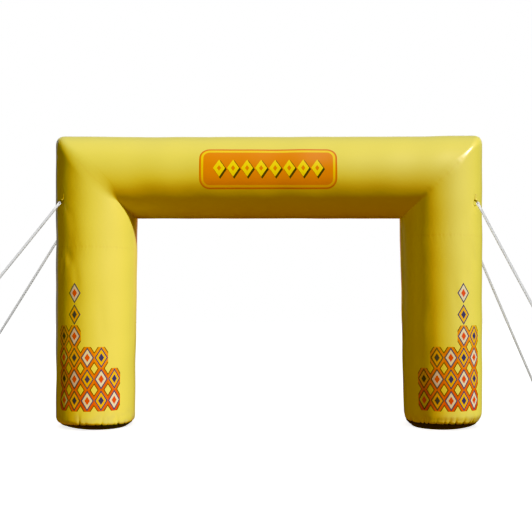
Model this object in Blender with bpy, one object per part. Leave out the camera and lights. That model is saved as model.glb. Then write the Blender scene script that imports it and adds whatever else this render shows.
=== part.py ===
"""An inflatable event arch, filled: two upright cloth tubes, a cross tube mitred between them, black
base caps, and four guy ropes that pull on sewn tie tabs. Metres, +Z up, the front towards -Y. The
origin is on the ground, midway between the legs."""

import math
from collections import namedtuple

import bmesh
import bpy
from mathutils import Matrix, Vector

HALF_SPAN = 3.0  # from the middle to a leg's outer face, which stands plumb
BEAM_BOTTOM_Z = 2.931
TUBE_RADIUS = {"left": 0.563, "right": 0.569}  # at the two mitres
FOOT_RADIUS = {"left": 0.544, "right": 0.540}  # the legs slim towards their feet
FOOT_TAPER_Z = 0.2  # a leg slims down to here
CROSS_SEAM_Z = {"left": 2.48, "right": 2.64}  # between elbow panel and leg sleeve
OUTER_BEND = 0.14  # over this length the outermost thread turns the corner
INNER_BEND = 0.006
FRONT_BEND = {"left": 0.17, "right": 0.12}  # how much wider the threads at the front and back turn
FRONT_REACH = {"left": 0.9, "right": 0.5}  # how far that reaches outwards round the tube
CORNER_LIFT = 0.022  # how far the pressure lifts the top of the beam at its ends
LIFT_REACH = 0.7  # over this length of beam
SIDE = {"left": -1, "right": 1}

FOOT_CURL_Z = {"left": 0.14, "right": 0.20}  # a foot starts to curl in at this height
FLAT_INSET = 0.11  # how much smaller the flat under a foot is than the foot
FLAT_SKEW = 0.055  # more than that on the outer corners, and less on the inner ones
BASE_SEAM_Z = {"left": 0.06, "right": 0.072}  # the black cap is sewn to the yellow leg here
BASE_SEAM_TILT = {"left": 0.0, "right": 0.01}  # lower than that on the outside, higher on the inside
BASE_SEAM_LIFT = 0.02  # and higher at the front and back

SIDES = 48  # facets round a tube
GAP = 0.0003  # between pieces that touch

STRAP_WIDTH = 0.042
STRAP_LENGTH = 0.085
STRAP_THICK = 0.003
STRAP_LAYER_GAP = 0.0005
RING_WIRE = 0.004  # radius of the ring's steel wire
RING_HALF_WIDTH = 0.029  # to the middle of the wire
RING_CORNER = 0.006
RING_DEPTH = 0.056  # from the straight wire to the top of the bow, between middles
FOLD_CLEARANCE = 0.0005
ROPE_RADIUS = 0.018
EYE_RADIUS = 0.010  # the rope is drawn thinner round its eyes
SPLICE_LENGTH = 0.08
ROPE_STEP = 0.11
ROPE_SAG = 0.0025  # at the middle, as a share of the length

CLOTH_YELLOW = (0.72, 0.50, 0.03)
CLOTH_BLACK = (0.012, 0.009, 0.007)
STEEL = (0.10, 0.10, 0.10)
ROPE_WHITE = (0.78, 0.78, 0.76)

# Each rope: the leg it holds, where its tab sits round the leg (0 is outermost, 90 the front) and how
# high, and the point where its far splice starts.
Guy = namedtuple("Guy", "side seat_angle seat_z end")
GUYS = {
    "front_left": Guy("left", 48.75, 3.12, (-3.53, -0.86, 2.01)),
    "back_left": Guy("left", -48.75, 3.18, (-4.22, 0.92, 1.205)),
    "front_right": Guy("right", 48.75, 3.12, (3.325, -1.195, 1.625)),
    "back_right": Guy("right", -48.75, 3.13, (4.18, 1.11, 0.46)),
}


def finish(obj, colour, roughness, metallic=0.0):
    """Gives the object a material of its own."""
    material = bpy.data.materials.new(obj.name)
    material.use_nodes = True
    shader = material.node_tree.nodes["Principled BSDF"]
    shader.inputs["Base Color"].default_value = (*colour, 1.0)
    shader.inputs["Roughness"].default_value = roughness
    shader.inputs["Metallic"].default_value = metallic
    obj.data.materials.clear()
    obj.data.materials.append(material)
    return obj


def mesh_object(name, grid, closed_rows, smooth_angle=40):
    """A closed solid from rows of points that all run the same way round, with both ends capped."""
    mesh = bpy.data.meshes.new(name)
    bm = bmesh.new()
    rows = [[bm.verts.new(point) for point in row] for row in grid]
    pairs = list(zip(rows, rows[1:]))
    if closed_rows:
        pairs.append((rows[-1], rows[0]))
    for row, following in pairs:
        for k in range(len(row)):
            after = (k + 1) % len(row)
            bm.faces.new((row[k], row[after], following[after], following[k]))
    for row in () if closed_rows else (rows[0], rows[-1]):
        if len(row) == 4:
            bm.faces.new(row)
            continue
        hub = bm.verts.new(sum((vert.co for vert in row), Vector()) / len(row))
        for k in range(len(row)):
            bm.faces.new((hub, row[k - 1], row[k]))
    bmesh.ops.recalc_face_normals(bm, faces=bm.faces)
    bm.to_mesh(mesh)
    bm.free()
    mesh.shade_smooth()
    mesh.set_sharp_from_angle(angle=math.radians(smooth_angle))
    obj = bpy.data.objects.new(name, mesh)
    bpy.context.scene.collection.objects.link(obj)
    return obj


# The tubes. A place round a tube is an angle: 0 on the outside of the arch, 90 degrees at the front.
# Each thread that runs along a tube is straight from mitre to mitre, or from mitre to foot.
AROUND = [2 * math.pi * k / SIDES for k in range(SIDES)]
PLAIN_BEAM_X = HALF_SPAN - 2 * TUBE_RADIUS["right"] - 0.05  # past this the beam is mitred
PLAIN_LEG_Z = BEAM_BOTTOM_Z - 0.05


def mitre_place(side, angle):
    """How far out and how high the tube's surface would turn, if its corner were sharp."""
    radius = TUBE_RADIUS[side]
    return (HALF_SPAN - radius + radius * math.cos(angle), BEAM_BOTTOM_Z + radius * (1 + math.cos(angle)))


def corner_bend(side, angle):
    """How far before and after the sharp corner a thread starts and ends its turn."""
    outward = math.cos(angle)
    outermost = max(outward, 0.0) ** 2
    reach = FRONT_REACH[side] if outward > -0.10 else 0.5
    front = math.sin(angle) ** 2 * math.exp(-(((outward + 0.10) / reach) ** 4))
    return INNER_BEND + (OUTER_BEND - INNER_BEND) * outermost + FRONT_BEND[side] * front


def leg_point(side, angle, z, inset=0.0):
    top = mitre_place(side, angle)[1] - corner_bend(side, angle)
    share = min(max((z - FOOT_TAPER_Z) / (top - FOOT_TAPER_Z), 0.0), 1.0)
    radius = FOOT_RADIUS[side] + share * (TUBE_RADIUS[side] - FOOT_RADIUS[side])
    out = HALF_SPAN - radius + (radius - inset) * math.cos(angle)
    return Vector((SIDE[side] * out, -(radius - inset) * math.sin(angle), z))


def lift(angle, from_corner):
    return CORNER_LIFT * max(math.cos(angle), 0.0) ** 2 * math.exp(-((from_corner / LIFT_REACH) ** 2))


def beam_point(angle, x):
    left, right = (SIDE[side] * mitre_place(side, angle)[0] for side in SIDE)
    radius = TUBE_RADIUS["left"] + (TUBE_RADIUS["right"] - TUBE_RADIUS["left"]) * (x - left) / (right - left)
    z = BEAM_BOTTOM_Z + radius * (1 + math.cos(angle)) + lift(angle, min(x - left, right - x))
    return Vector((x, -radius * math.sin(angle), z))


def corner_point(side, angle, turn):
    """Where the tube turns the corner: turn is -1 where it leaves the leg, 0 on the mitre and 1 where
    it becomes the beam."""
    bend = corner_bend(side, angle)
    share = (1 + turn) / 2
    out, up = mitre_place(side, angle)
    out -= bend * share**2
    up += lift(angle, bend) - bend * (1 - share) ** 2
    return Vector((SIDE[side] * out, -TUBE_RADIUS[side] * math.sin(angle), up))


def corner_row(side, turn, shift=(0, 0, 0)):
    return [corner_point(side, angle, turn) + Vector(shift) for angle in AROUND]


def beam_half(side):
    """The beam's rows from a mitre to near the middle."""
    mitre_gap = (-SIDE[side] * GAP * 0.7, 0, 0)
    rows = [corner_row(side, 0, mitre_gap), corner_row(side, 0.5), corner_row(side, 1)]
    ends = [point.x for point in rows[-1]]
    for share in (0.3, 0.65):
        places = [x + (SIDE[side] * PLAIN_BEAM_X - x) * share for x in ends]
        rows.append([beam_point(angle, x) for angle, x in zip(AROUND, places)])
    return rows + [[beam_point(a, SIDE[side] * x) for a in AROUND] for x in (PLAIN_BEAM_X, 1.2, 0.6)]


def beam():
    middle = [beam_point(angle, 0.0) for angle in AROUND]
    rows = [*beam_half("left"), middle, *reversed(beam_half("right"))]
    return finish(mesh_object("beam", rows, False), CLOTH_YELLOW, 0.38)


def leg_upper(side):
    mitre_gap = (0, 0, -GAP * 0.7)
    rows = [corner_row(side, 0, mitre_gap), corner_row(side, -0.5), corner_row(side, -1)]
    ends = [point.z for point in rows[-1]]
    for share in (0.33, 0.66):
        places = [z + (PLAIN_LEG_Z - z) * share for z in ends]
        rows.append([leg_point(side, angle, z) for angle, z in zip(AROUND, places)])
    rows += [leg_row(side, PLAIN_LEG_Z), leg_row(side, CROSS_SEAM_Z[side] + GAP / 2)]
    return finish(mesh_object(f"leg_{side}_upper", rows, False), CLOTH_YELLOW, 0.38)


def leg_row(side, z):
    return [leg_point(side, angle, z) for angle in AROUND]


def foot_point(side, angle, z):
    """On the foot, which curls in towards the flat that it stands on."""
    flat_inset = FLAT_INSET + 2 * FLAT_SKEW * abs(math.sin(angle)) * math.cos(angle)
    return leg_point(side, angle, z, flat_inset * max(1 - z / FOOT_CURL_Z[side], 0.0) ** 2)


def base_seam_z(side, angle):
    tilt = -BASE_SEAM_TILT[side] * math.cos(angle)
    return BASE_SEAM_Z[side] + tilt + BASE_SEAM_LIFT * math.sin(angle) ** 2


def leg_lower(side):
    rows = [leg_row(side, z) for z in (CROSS_SEAM_Z[side] - GAP / 2, 1.9, 1.3, 0.7, 0.3)]
    for share in (1, 0.55, 0):
        seams = [base_seam_z(side, angle) + GAP for angle in AROUND]
        heights = [seam + share * (FOOT_CURL_Z[side] - seam) for seam in seams]
        rows.append([foot_point(side, angle, z) for angle, z in zip(AROUND, heights)])
    return finish(mesh_object(f"leg_{side}_lower", rows, False), CLOTH_YELLOW, 0.38)


def base(side):
    rows = []
    for share in (1, 0.6, 0.25, 0):
        rows.append([foot_point(side, angle, share * base_seam_z(side, angle)) for angle in AROUND])
    return finish(mesh_object(f"base_{side}", rows, False), CLOTH_BLACK, 0.55)


# The guys. Each is set out from the middle of the ring's straight wire, which lies in the fold of its
# tab: X runs along that wire, Y along the pull of the rope and Z out of the ring's plane.
FOLD_RADIUS = RING_WIRE + FOLD_CLEARANCE + STRAP_THICK / 2  # to the middle of the strap
WIRE_HEIGHT = GAP + STRAP_THICK / 2 + FOLD_RADIUS  # of the wire's middle over the leg's facet


def seat(guy):
    """The middle of the facet of the leg that the tab is sewn on, and the facet's outward normal."""
    edges = [math.radians(guy.seat_angle) + turn * math.pi / SIDES for turn in (-1, 1)]
    low, high = ([leg_point(guy.side, a, guy.seat_z + rise) for a in edges] for rise in (0, 0.1))
    across = low[1] - low[0]
    up = (high[0] + high[1] - low[0] - low[1]) / 2
    normal = across.cross(up).normalized()
    middle = (low[0] + low[1]) / 2
    return middle, normal if normal.x * SIDE[guy.side] > 0 else -normal


def outward_at(guy):
    return seat(guy)[1]


def wire_middle(guy):
    middle, normal = seat(guy)
    return middle + normal * WIRE_HEIGHT


def axes_at(origin, x, y):
    z = x.cross(y)
    return Matrix.Translation(origin) @ Matrix((x, y, z)).transposed().to_4x4()


def pull_of(guy):
    return (Vector(guy.end) - wire_middle(guy)).normalized()


def ring_place(guy):
    pull = pull_of(guy)
    return axes_at(wire_middle(guy), pull.cross(outward_at(guy)).normalized(), pull)


def tab_place(guy):
    """Flat on the leg, with the strap running away from the pull."""
    along_wire = pull_of(guy).cross(outward_at(guy)).normalized()
    return axes_at(wire_middle(guy), along_wire, outward_at(guy).cross(along_wire))


def strap_middle_line():
    """The folded strap seen along the wire, as (run, height) from the wire's middle: up the leg's side,
    round the wire, and back down on its own other layer."""
    under = -FOLD_RADIUS
    over = under + STRAP_THICK + STRAP_LAYER_GAP
    fall = 0.024
    turn = [math.radians(a) for a in range(-90, 91, 30)]
    ease = [k / 5 for k in range(1, 6)]
    line = [(-STRAP_LENGTH, under), (-fall, under)]
    line += [(FOLD_RADIUS * math.cos(a), FOLD_RADIUS * math.sin(a)) for a in turn]
    rise = FOLD_RADIUS - over
    line += [(-fall * s, over + rise * (1 + math.cos(math.pi * s)) / 2) for s in ease]
    return [Vector(p) for p in [*line, (-STRAP_LENGTH, over)]]


def sideways(line, k, closed):
    """At point k of a flat line, the vector to the line a unit away on its left, corners kept true."""
    last = len(line) - 1
    before = line[k] - line[k - 1] if k or closed else line[1] - line[0]
    after = line[(k + 1) % len(line)] - line[k] if k < last or closed else before
    before, after = before.normalized(), after.normalized()
    middle = (before + after).normalized()
    return Vector((-middle.y, middle.x)) / middle.dot(before)


def tab(name, guy):
    line = strap_middle_line()
    half = STRAP_WIDTH / 2
    rows = []
    for k, point in enumerate(line):
        step = sideways(line, k, False) * STRAP_THICK / 2
        inner, outer = point + step, point - step
        row = ((-half, outer), (half, outer), (half, inner), (-half, inner))
        rows.append([Vector((across, *place)) for across, place in row])
    obj = mesh_object(f"tab_{name}", rows, False)
    obj.matrix_world = tab_place(guy)
    return finish(obj, CLOTH_YELLOW, 0.5)


def hoop(name, line, radius, sides=8):
    """A round wire or rope that follows a closed flat line in its own XY plane."""
    rows = []
    for k, point in enumerate(line):
        step = sideways(line, k, True)
        turns = [2 * math.pi * n / sides for n in range(sides)]
        rows.append(
            [Vector((*(point + step * radius * math.cos(t)), radius * math.sin(t))) for t in turns]
        )
    return mesh_object(name, rows, True, smooth_angle=60)


def ring_line():
    """A D: the straight wire lies on X, and the bow is round."""
    shoulder = RING_DEPTH - RING_HALF_WIDTH
    corner = []
    for turn in (0, 45, 90):
        x = RING_HALF_WIDTH - RING_CORNER * (1 - math.sin(math.radians(turn)))
        corner.append((x, RING_CORNER * (1 - math.cos(math.radians(turn)))))
    bow = [math.pi * k / 12 for k in range(13)]
    arc = [(RING_HALF_WIDTH * math.cos(a), shoulder + RING_HALF_WIDTH * math.sin(a)) for a in bow]
    return [Vector(p) for p in [*corner, *arc, *[(-x, y) for x, y in reversed(corner)]]]


def ring(name, guy):
    obj = hoop(f"ring_{name}", ring_line(), RING_WIRE)
    obj.matrix_world = ring_place(guy)
    return finish(obj, STEEL, 0.35, 1.0)


def eye_line(tip_radius, length):
    """A rope eye's middle line: a round tip at length, narrowing to its throat at the origin."""
    throat = EYE_RADIUS * 1.03
    tip = [math.pi * k / 8 for k in range(9)]
    line = [(tip_radius * math.cos(a), length - tip_radius + tip_radius * math.sin(a)) for a in tip]
    side = [(throat + (tip_radius - throat) * s, (length - tip_radius) * s) for s in (0.0, 0.35, 0.7)]
    return [Vector(p) for p in [*side, *line, *[(-x, y) for x, y in reversed(side)]]]


def spliced_eye(name, place, tip_radius, length):
    """A rope's end turned back on itself: the eye, and the tapered splice behind its throat."""
    obj = hoop(name, eye_line(tip_radius, length), EYE_RADIUS)
    profile = ((1.0, -SPLICE_LENGTH), (1.06, -0.7 * SPLICE_LENGTH), (1.2, -0.012), (1.28, 0.002), (0.95, 0.019))
    turns = [2 * math.pi * k / 12 for k in range(12)]
    rows = [
        [Vector((r * ROPE_RADIUS * math.cos(t), y, 0.8 * r * ROPE_RADIUS * math.sin(t))) for t in turns]
        for r, y in profile
    ]
    splice = mesh_object(f"{name}_splice", rows, False)
    splice.hide_render = True
    splice.display_type = "WIRE"
    splice.parent = obj
    join = obj.modifiers.new("splice", "BOOLEAN")
    join.operation = "UNION"
    join.object = splice
    obj.matrix_world = place
    return finish(obj, ROPE_WHITE, 0.8)


NEAR_TIP = RING_WIRE + 0.001 + EYE_RADIUS  # the near eye fits snug round the wire
NEAR_EYE = 0.050
NEAR_REACH = NEAR_EYE - EYE_RADIUS - GAP - RING_WIRE  # from its throat to the wire that it bears on
FAR_TIP = 0.034
FAR_EYE = 0.12


def near_eye(name, guy):
    """Round the bow of the ring, across its plane, with the throat towards the rope."""
    ring_axes = ring_place(guy)
    pull = ring_axes.to_3x3() @ Vector((0, 1, 0))
    throat = wire_middle(guy) + pull * (RING_DEPTH + NEAR_REACH)
    across = ring_axes.to_3x3() @ Vector((0, 0, 1))
    return spliced_eye(f"eye_{name}", axes_at(throat, across, -pull), NEAR_TIP, NEAR_EYE)


def far_eye(name, guy):
    pull = pull_of(guy)
    throat = Vector(guy.end) + pull * (SPLICE_LENGTH + GAP)
    across = pull.cross(Vector((0, 0, 1))).normalized()
    return spliced_eye(f"end_{name}", axes_at(throat, across, pull), FAR_TIP, FAR_EYE)


def rope(name, guy):
    """Taut between its two splices, with the slight sag that its weight leaves."""
    reach = RING_DEPTH + NEAR_REACH + SPLICE_LENGTH + GAP
    start = wire_middle(guy) + pull_of(guy) * reach
    end = Vector(guy.end)
    length = (end - start).length
    count = math.ceil(length / ROPE_STEP) + 1
    curve = bpy.data.curves.new(f"rope_{name}", "CURVE")
    curve.dimensions = "3D"
    curve.bevel_depth = ROPE_RADIUS
    curve.bevel_resolution = 2
    curve.use_fill_caps = True
    spline = curve.splines.new("POLY")
    spline.points.add(count - 1)
    for k, point in enumerate(spline.points):
        share = k / (count - 1)
        sag = 4 * ROPE_SAG * length * share * (1 - share)
        point.co = (*(start.lerp(end, share) - Vector((0, 0, sag))), 1.0)
    obj = bpy.data.objects.new(f"rope_{name}", curve)
    bpy.context.scene.collection.objects.link(obj)
    return finish(obj, ROPE_WHITE, 0.8)


def build():
    for obj in list(bpy.data.objects):
        bpy.data.objects.remove(obj, do_unlink=True)
    beam()
    for side in SIDE:
        leg_upper(side)
        leg_lower(side)
        base(side)
    for name, guy in GUYS.items():
        tab(name, guy)
        ring(name, guy)
        near_eye(name, guy)
        rope(name, guy)
        far_eye(name, guy)


build()
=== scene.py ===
import math
from collections import namedtuple

import bpy
import numpy as np
from mathutils import Matrix, Vector


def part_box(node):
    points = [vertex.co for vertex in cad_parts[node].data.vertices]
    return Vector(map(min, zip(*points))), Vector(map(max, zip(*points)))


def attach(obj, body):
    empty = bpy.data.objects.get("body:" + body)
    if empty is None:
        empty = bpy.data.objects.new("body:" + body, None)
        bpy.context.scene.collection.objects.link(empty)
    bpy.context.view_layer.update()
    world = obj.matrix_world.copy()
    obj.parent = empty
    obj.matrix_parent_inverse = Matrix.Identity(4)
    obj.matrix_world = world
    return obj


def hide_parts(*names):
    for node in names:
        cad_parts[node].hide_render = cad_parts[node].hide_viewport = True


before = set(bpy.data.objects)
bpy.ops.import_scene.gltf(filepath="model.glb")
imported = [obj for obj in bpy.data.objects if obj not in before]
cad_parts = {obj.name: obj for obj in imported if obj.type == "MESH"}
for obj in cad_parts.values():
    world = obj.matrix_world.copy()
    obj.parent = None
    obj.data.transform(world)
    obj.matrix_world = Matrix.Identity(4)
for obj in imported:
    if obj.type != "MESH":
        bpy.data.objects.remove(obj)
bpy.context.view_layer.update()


# ---- Camera ----
# It stands ten metres in front of the arch, midway between the legs and at eye height. It looks
# level, and its lens is shifted up a little so that the whole beam is in view.
camera = bpy.data.objects.new("camera", bpy.data.cameras.new("camera"))
bpy.context.scene.collection.objects.link(camera)
bpy.context.scene.camera = camera
camera.location = (0.0, -10.0, 1.6)
camera.rotation_euler = (math.radians(90), 0.0, 0.0)
camera.data.sensor_width = 36.0
camera.data.lens = 47.66
camera.data.shift_x = -0.0057
camera.data.shift_y = 0.0864


# ---- Floor, backdrop and lamps ----
# A plain pale floor under a white surround. A sun-like key lamp stands high on the right in front, soft
# lamps all round fill the shadows, and two glows far behind show only in the gloss of the cloth. The
# ropes have soft lamps of their own. Every finish is painted by nodes, which this class wires together.
class Wire:
    """One output of a shader node. Sums on it add Math nodes, and node() adds any other kind."""

    def __init__(self, tree, socket=None):
        self.tree = tree
        self.socket = socket

    def node(self, kind, settings, inputs, output=0):
        made = self.tree.nodes.new("ShaderNode" + kind)
        for name, value in settings.items():
            if name != "stops":
                setattr(made, name, value)
                continue
            ramp = made.color_ramp
            while len(ramp.elements) < len(value):
                ramp.elements.new(1.0)
            for stop, (place, colour) in zip(ramp.elements, value):
                stop.position = place
                stop.color = (*colour, 1.0)
        for name, value in inputs.items():
            if isinstance(value, Wire):
                self.tree.links.new(value.socket, made.inputs[name])
            else:
                made.inputs[name].default_value = value
        return Wire(self.tree, made.outputs[output])

    def maths(self, operation, *others):
        return self.node("Math", {"operation": operation}, dict(enumerate((self, *others))))

    def mix(self, mask, colour):
        """This colour, turning to another where the mask is 1."""
        other = colour if isinstance(colour, Wire) else (*colour, 1.0)
        return self.node("Mix", {"data_type": "RGBA"}, {0: mask, 6: self, 7: other}, 2)

    def step(self, edge, width):
        """0 below the edge and 1 above it, with a soft change between."""
        ends = {1: edge - width / 2, 2: edge + width / 2, 3: 0.0, 4: 1.0}
        return self.node("MapRange", {"interpolation_type": "SMOOTHSTEP"}, {0: self, **ends})

    def __add__(self, other):
        return self.maths("ADD", other)

    def __sub__(self, other):
        return self.maths("SUBTRACT", other)

    def __rsub__(self, other):
        return self.node("Math", {"operation": "SUBTRACT"}, {0: other, 1: self})

    def __mul__(self, other):
        return self.maths("MULTIPLY", other)

    def __truediv__(self, other):
        return self.maths("DIVIDE", other)

    def __pow__(self, other):
        return self.maths("POWER", other)

    def __mod__(self, other):
        return self.maths("FLOORED_MODULO", other)

    def __abs__(self):
        return self.maths("ABSOLUTE")

    __radd__ = __add__
    __rmul__ = __mul__


def finish(name, constants, paint):
    """A Principled material. The constants are set on its sockets, and paint(wire) gives the wires of
    the sockets that change over the surface."""
    made = bpy.data.materials.new(name)
    made.use_nodes = True
    shader = made.node_tree.nodes["Principled BSDF"]
    for socket, value in constants.items():
        shader.inputs[socket].default_value = value
    for socket, wire in paint(Wire(made.node_tree)).items():
        made.node_tree.links.new(wire.socket, shader.inputs[socket])
    return made


def noise(wire, scale, detail):
    """Cloudy noise from 0 to 1, with a middle of 0.5, by place in the object."""
    place = wire.node("TexCoord", {}, {}, "Object")
    return wire.node("TexNoise", {}, {"Vector": place, "Scale": scale, "Detail": detail})


def blend(mask, first, second):
    """The first colour where the mask is 0, turning to the second where it is 1."""
    return mask.node("Mix", {"data_type": "RGBA"}, {0: mask, 6: (*first, 1.0), 7: (*second, 1.0)}, 2)


def arc(radius, degrees, x=0.0, y=0.0):
    """Points (x, y) at these degrees on a circle with its middle at x, y."""
    return [(x + radius * math.cos(a), y + radius * math.sin(a)) for a in np.radians(degrees)]


def plain_mesh(name, points, faces, smooth=True):
    mesh = bpy.data.meshes.new(name)
    mesh.from_pydata([tuple(p) for p in points], [], [tuple(f) for f in faces])
    if smooth:
        mesh.shade_smooth()
    obj = bpy.data.objects.new(name, mesh)
    bpy.context.scene.collection.objects.link(obj)
    return obj


FLOOR_REACH = 90.0
FLOOR_SIDES = 64
FLOOR_GREY = (0.86, 0.86, 0.86)
FLOOR_PALE = (0.92, 0.92, 0.92)
FLOOR = {"Specular IOR Level": 0.1, "Emission Color": (1.0, 1.0, 1.0, 1.0), "Emission Strength": 0.82}


def floor_paint(wire):
    shade = noise(wire, 0.6, 3.0)
    return {"Base Color": blend(shade, FLOOR_GREY, FLOOR_PALE), "Roughness": 0.8 + 0.1 * shade}


floor_turns = np.linspace(0, 360, FLOOR_SIDES, endpoint=False)
floor_rim = [(x, y, 0.0) for x, y in arc(FLOOR_REACH, floor_turns)]
floor = plain_mesh("floor", floor_rim, [range(FLOOR_SIDES)], smooth=False)
floor.data.materials.append(finish("pale_floor", FLOOR, floor_paint))
floor.visible_diffuse = False
floor.visible_glossy = False
floor.visible_shadow = False

world = bpy.data.worlds.new("white_surround")
bpy.context.scene.world = world
world.use_nodes = True
world.node_tree.nodes["Background"].inputs["Color"].default_value = (1.0, 1.0, 1.0, 1.0)
world.cycles_visibility.diffuse = False
world.cycles_visibility.glossy = False

# A gentle tone curve: the shades are held down a little and the middle tones lifted, and the faintest
# blues are held back, so that deep yellows stay pure.
view = bpy.context.scene.view_settings
view.view_transform = "Standard"
view.use_curve_mapping = True
_, _, blue, every = view.curve_mapping.curves
for curve, tones in (
    (every, ((0.15, 0.149), (0.2, 0.192), (0.26, 0.245), (0.34, 0.346), (0.41, 0.437), (0.48, 0.516))),
    (every, ((0.54, 0.579), (0.61, 0.641), (0.68, 0.70), (0.76, 0.765), (0.84, 0.84))),
    (blue, ((0.02, 0.0015), (0.031, 0.009), (0.039, 0.022), (0.05, 0.043), (0.064, 0.068), (0.095, 0.108))),
    (blue, ((0.128, 0.140), (0.18, 0.185), (0.25, 0.25))),
):
    for light, tone in tones:
        curve.points.new(light, tone)
view.curve_mapping.update()

# What each lamp shines on. only_arch lists what is left out of it, which is the floor and the ropes.
only_floor = bpy.data.collections.new("only_floor")
only_floor.objects.link(floor)
only_ropes = bpy.data.collections.new("only_ropes")
only_arch = bpy.data.collections.new("only_arch")


def leave_unlit(obj):
    """Keep the lamps of the arch off this piece."""
    only_arch.objects.link(obj)
    only_arch.collection_objects[-1].light_linking.link_state = "EXCLUDE"


leave_unlit(floor)


def lamp(name, kind, place, aim, energy, colour, lights=only_arch, **settings):
    data = bpy.data.lights.new(name, kind)
    data.energy = energy
    data.color = colour
    for key, value in settings.items():
        setattr(data, key, value)
    obj = bpy.data.objects.new(name, data)
    bpy.context.scene.collection.objects.link(obj)
    obj.location = place
    obj.rotation_euler = (Vector(place) - Vector(aim)).to_track_quat("Z", "Y").to_euler()
    obj.visible_camera = False
    obj.light_linking.receiver_collection = lights
    return obj


KEY_WAY = Vector((0.60, -0.472, 0.62))
KEY_AIM = Vector((0.0, 0.0, 2.5))
MIDDLE = (0, 0, 2)


def soft_lamp(name, place, energy, colour, size, gloss, lights=only_arch):
    """A wide lamp aimed at the middle of the arch. gloss is how strongly it shows in the gloss."""
    sides = {"shape": "RECTANGLE", "size": size[0], "size_y": size[1]}
    made = lamp(name, "AREA", place, MIDDLE, energy, colour, lights, **sides)
    made.data.specular_factor = gloss
    return made


lamp("key", "SUN", KEY_AIM + 20 * KEY_WAY, KEY_AIM, 4.02, (1.0, 0.985, 0.97), angle=math.radians(4))
soft_lamp("above", (0, 1, 12), 200, (0.28, 0.36, 1.0), (16, 12), 1.0)
soft_lamp("below", (-0.5, 0, -3), 210, (1.0, 0.30, 0.0), (16, 14), 0.2)
soft_lamp("front", (-3, -14, 2), 380, (1.0, 0.58, 0.0), (12, 8), 0.2)
soft_lamp("left", (-14, -5, 3), 138, (1.0, 0.90, 0.0), (8, 8), 0.2)
soft_lamp("right", (14, -4, 3), 40, (0.9, 0.9, 1.0), (8, 8), 1.0)
soft_lamp("behind", (3, 14, 5), 300, (1.0, 0.45, 0.15), (12, 8), 0.0)
sky = soft_lamp("sky", (0, 18, 13), 900, (0.80, 0.92, 1.0), (44, 8), 1.0)
low_sky = soft_lamp("low_sky", (-15, 15, 3), 85, (0.32, 0.66, 1.0), (12, 7), 1.0)
for glow in (sky, low_sky):
    glow.data.diffuse_factor = 0.0

# The ropes are lit evenly along their length: nothing but the ropes throws a shadow on them.
ROPE_LIGHT = (0.97, 0.98, 1.0)
for_ropes = soft_lamp("for_ropes", (0, -14, 6), 2900, ROPE_LIGHT, (20, 10), 0.3, only_ropes)
for_ropes.light_linking.blocker_collection = only_ropes
soft_lamp("for_ropes_behind", (0, 14, 5), 400, ROPE_LIGHT, (20, 10), 0.3, only_ropes)
lamp("floor_light", "SUN", (0, 0, 20), (0, 0, 0), 1.15, (1, 1, 1), only_floor, angle=math.radians(100))


# ---- Sleeves: the beam and the two legs ----
# Tubes of glossy coated yellow cloth, tight with air. The beam is mitred to the tops of the legs. Each
# sleeve has two lengthwise seams on its inner side, and each leg a cross seam below its corner.
SIDE = {"left": -1, "right": 1}
HALF_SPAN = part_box("leg_right_lower")[1][0]
CLEAR_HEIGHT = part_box("beam")[0][2]
TUBE_RADIUS = {side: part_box(f"leg_{side}_upper")[1][1] for side in SIDE}
FOOT_RADIUS = {"left": 0.544, "right": 0.540}
FOOT_TAPER_Z = 0.2  # a leg narrows down to here
CROSS_SEAM_Z = {side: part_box(f"leg_{side}_lower")[1][2] for side in SIDE}
OUTER_BEND = 0.14  # the corner's turn along its outermost thread
INNER_BEND = 0.006
FRONT_BEND = {"left": 0.17, "right": 0.12}  # how much wider the threads at the front and back turn
WIDEST = -0.10  # where they turn widest, and how far that reaches, as cosines of the angle
OUTWARD_REACH = {"left": 0.9, "right": 0.5}
INWARD_REACH = 0.5
CORNER_LIFT = 0.022  # how far the top of the beam rises towards its corners
LIFT_REACH = 0.7
CROWN = 0.008  # how far the air crowns the top of the beam between its corners
CROWN_REACH = 0.6

CLOTH_WIDTH_RADIUS = 0.56  # one turn round a sleeve is taken as this radius when cloth is measured
FRONT_TURN = math.radians(90)
SEAM_ANGLES = (158.0, 202.0)  # round a sleeve: 0 is outermost, 90 the front, 180 innermost
END_SEAM_DEPTH = 0.0002
LONG_SEAM_DEPTH = 0.00028
SEAM_HALF_WIDTH = 0.006
END_PUCKER_DEPTH = 0.0007
LONG_PUCKER_DEPTH = 0.00042
PUCKER_REACH = 0.045
SWELL_DEPTH = 0.0022
SWELL_START = 0.25  # how far from its mitre a sleeve's swells are full
FULLNESS = 0.009
FULL_ANGLE = math.radians(60)  # from the innermost thread to where a corner is fullest
FULL_WIDTH = 0.18
FULL_REACH = 0.40


def turns_round(count):
    """Angles once round a sleeve, from back to back through the front, closer at the seams."""
    plain = np.linspace(-90.0, 270.0, count, endpoint=False)
    step = math.degrees(SEAM_HALF_WIDTH / 2 / CLOTH_WIDTH_RADIUS)
    near = [seam + step * k for seam in SEAM_ANGLES for k in (-3, -2, -1, 0, 1, 2, 3)]
    clear = plain[np.min(np.abs(plain[:, None] - np.array(near)[None, :]), axis=1) > step * 0.6]
    return np.radians(np.sort(np.concatenate([clear, near])))


def mitre_place(side, angle):
    """How far out and how high the mitre is at each angle round the tube."""
    radius = TUBE_RADIUS[side]
    return HALF_SPAN - radius + radius * np.cos(angle), CLEAR_HEIGHT + radius * (1 + np.cos(angle))


def points(x, y, z):
    """Rows of points from rows of places, any of which may be a single number."""
    return np.stack(np.broadcast_arrays(x, y, z), axis=-1)


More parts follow.
